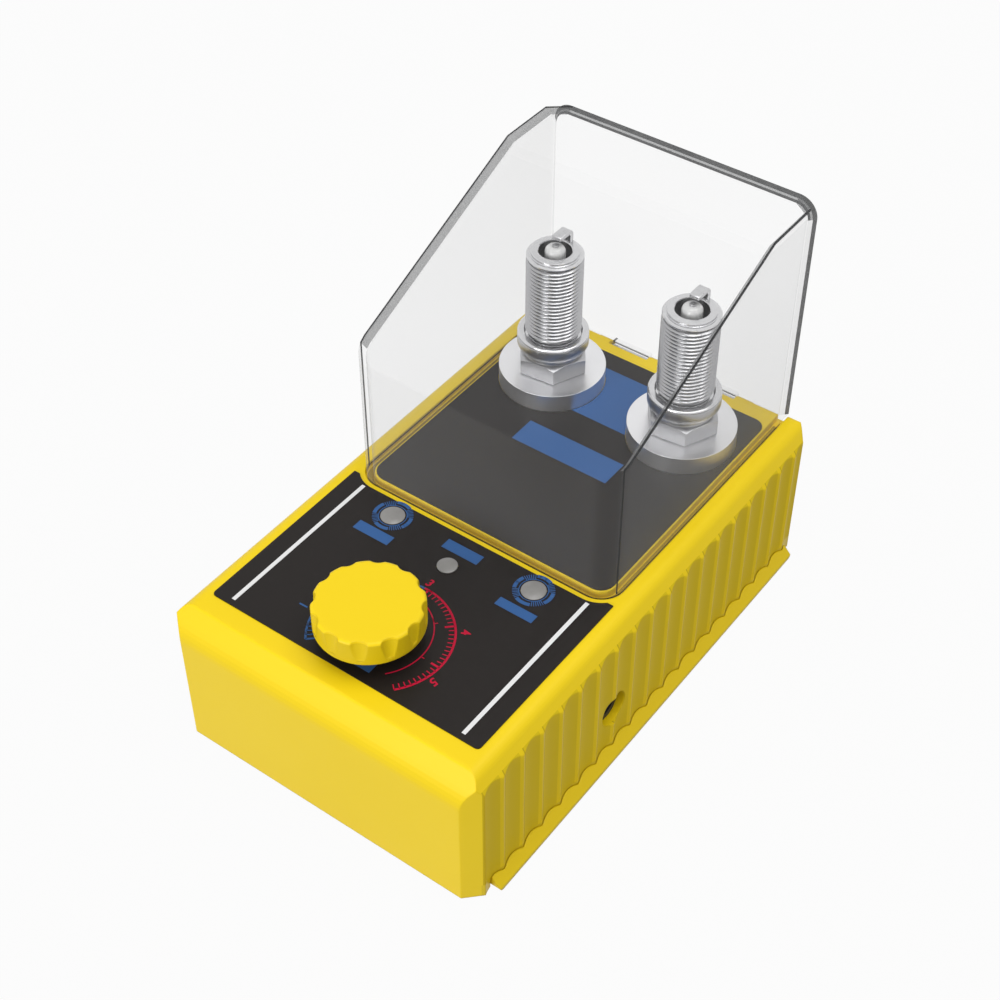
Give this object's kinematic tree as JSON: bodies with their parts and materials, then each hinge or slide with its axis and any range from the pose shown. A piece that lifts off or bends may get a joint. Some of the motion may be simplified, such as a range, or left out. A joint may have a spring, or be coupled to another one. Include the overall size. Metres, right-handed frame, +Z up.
{
  "type": "spark plug tester",
  "caption": "Bench spark plug tester: fluted yellow case with a hinged clear hood over earth rings that hold the plugs, signal lamps and a speed knob with a dial.",
  "frame": {"origin": "on the ground under the middle of the case, between its rubber feet", "axes": "+X to the right of a person at the knob, +Y to the back where the hood is hinged, +Z up"},
  "size_m": [0.09, 0.139, 0.1038],
  "materials": {
    "case_yellow": "satin moulded yellow plastic",
    "film_black": "printed dark film",
    "clear_acrylic": "clear polished plastic",
    "polished_steel": "turned and polished",
    "plated_steel": "nickel plated",
    "zinc_screw": "zinc plated",
    "white_ceramic": "glazed",
    "black_plastic": "fine moulded grain",
    "rubber": "matt",
    "lamp_grey": "smoked lamp lens",
    "brass": "plain",
    "lead_red": "silicone lead",
    "potting_blue": "potted block",
    "board_green": "solder mask"
  },
  "bodies": {
    "case": {"upper_case": "case_yellow", "bottom_cover": "case_yellow", "case_screws": "zinc_screw", "rubber_feet": "rubber", "front_label": "film_black", "rear_label": "film_black", "hinge_pins": "plated_steel", "left_earth_ring": "polished_steel", "right_earth_ring": "polished_steel", "left_socket_sleeve": "black_plastic", "right_socket_sleeve": "black_plastic", "left_contact": "brass", "right_contact": "brass", "left_lead": "lead_red", "right_lead": "lead_red", "left_coil": "potting_blue", "right_coil": "potting_blue", "circuit_board": "board_green", "board_screws": "zinc_screw", "capacitors": "potting_blue", "driver_chip": "black_plastic", "power_socket": "black_plastic", "left_signal_lens": "lamp_grey", "right_signal_lens": "lamp_grey", "power_lens": "lamp_grey", "speed_control": "plated_steel", "control_nut": "zinc_screw"},
    "hood": {"clear_hood": "clear_acrylic"},
    "knob": {"speed_knob": "case_yellow", "control_shaft": "plated_steel"},
    "left_plug": {"left_plug_shell": "plated_steel", "left_plug_gasket": "plated_steel", "left_plug_insulator": "white_ceramic", "left_plug_electrode": "plated_steel", "left_plug_terminal": "plated_steel"},
    "right_plug": {"right_plug_shell": "plated_steel", "right_plug_gasket": "plated_steel", "right_plug_insulator": "white_ceramic", "right_plug_electrode": "plated_steel", "right_plug_terminal": "plated_steel"}
  },
  "joints": [
    {"name": "hood_hinge", "type": "hinge", "parent": "case", "child": "hood", "pos_m": [0.0034, 0.0679, 0.0388], "axis": [-1, 0, 0], "range_deg": [0, 100]},
    {"name": "knob_turn", "type": "hinge", "parent": "case", "child": "knob", "pos_m": [-0.0005, -0.0488, 0.0485], "axis": [0, 0, -1], "range_deg": [0, 270]},
    {"name": "left_plug_lift", "type": "slide", "parent": "case", "child": "left_plug", "axis": [0, 0, 1], "range_m": [0, 0.01]},
    {"name": "right_plug_lift", "type": "slide", "parent": "case", "child": "right_plug", "axis": [0, 0, 1], "range_m": [0, 0.01]}
  ]
}
